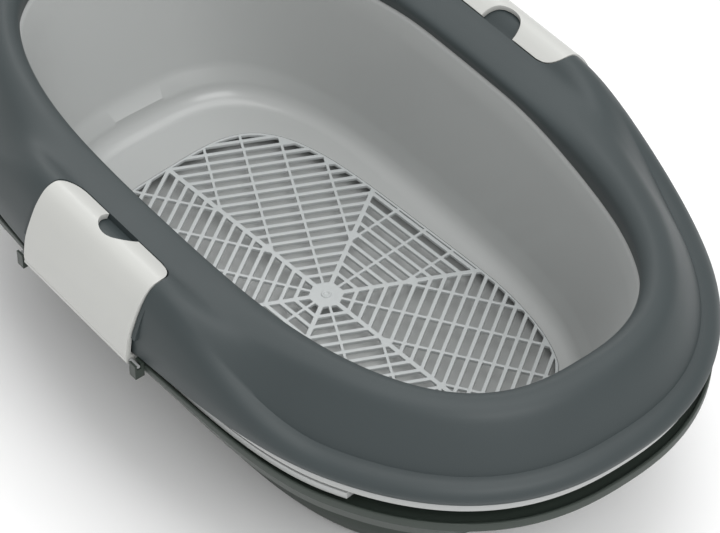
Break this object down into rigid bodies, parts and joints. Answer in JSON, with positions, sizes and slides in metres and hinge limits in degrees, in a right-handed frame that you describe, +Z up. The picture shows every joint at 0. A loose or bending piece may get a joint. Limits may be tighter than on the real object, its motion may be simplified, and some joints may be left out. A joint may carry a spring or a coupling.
{
  "type": "sifting pet tray",
  "caption": "Long oval pet tray: a solid tray and a slotted sieve tray nested in a base tray, under a raised splash rim held by hinged side clips.",
  "frame": {"origin": "on the ground, below the middle of the tray's length and width", "axes": "+X along the length, +Y across towards the right-hand clip, +Z up"},
  "size_m": [0.584, 0.3682, 0.182],
  "materials": {
    "dark_base": "moulded, fine texture",
    "dark_shell": "moulded, fine texture",
    "pale_tray": "smooth",
    "pale_grid": "smooth",
    "clip_white": "satin",
    "pin_grey": "satin"
  },
  "bodies": {
    "base": {"base_tray": "dark_base"},
    "inner": {"inner_tray": "pale_tray"},
    "sieve": {"sieve_basin": "pale_tray", "sieve_grid": "pale_grid"},
    "rim": {"rim": "dark_shell"},
    "clip_right": {"clip_right": "clip_white", "clip_pin_right": "pin_grey"},
    "clip_left": {"clip_left": "clip_white", "clip_pin_left": "pin_grey"}
  },
  "joints": [
    {"name": "inner_tray_lift", "type": "slide", "parent": "base", "child": "inner", "axis": [0, 0, 1], "range_m": [0, 0.15]},
    {"name": "sieve_lift", "type": "slide", "parent": "inner", "child": "sieve", "axis": [0, 0, 1], "range_m": [0, 0.15]},
    {"name": "rim_lift", "type": "slide", "parent": "sieve", "child": "rim", "axis": [0, 0, 1], "range_m": [0, 0.1]},
    {"name": "clip_right_hinge", "type": "hinge", "parent": "rim", "child": "clip_right", "pos_m": [0, 0.1808, 0.1305], "axis": [-1, 0, 0], "range_deg": [0, 115]},
    {"name": "clip_left_hinge", "type": "hinge", "parent": "rim", "child": "clip_left", "pos_m": [0, -0.1808, 0.1305], "axis": [1, 0, 0], "range_deg": [0, 115]}
  ]
}
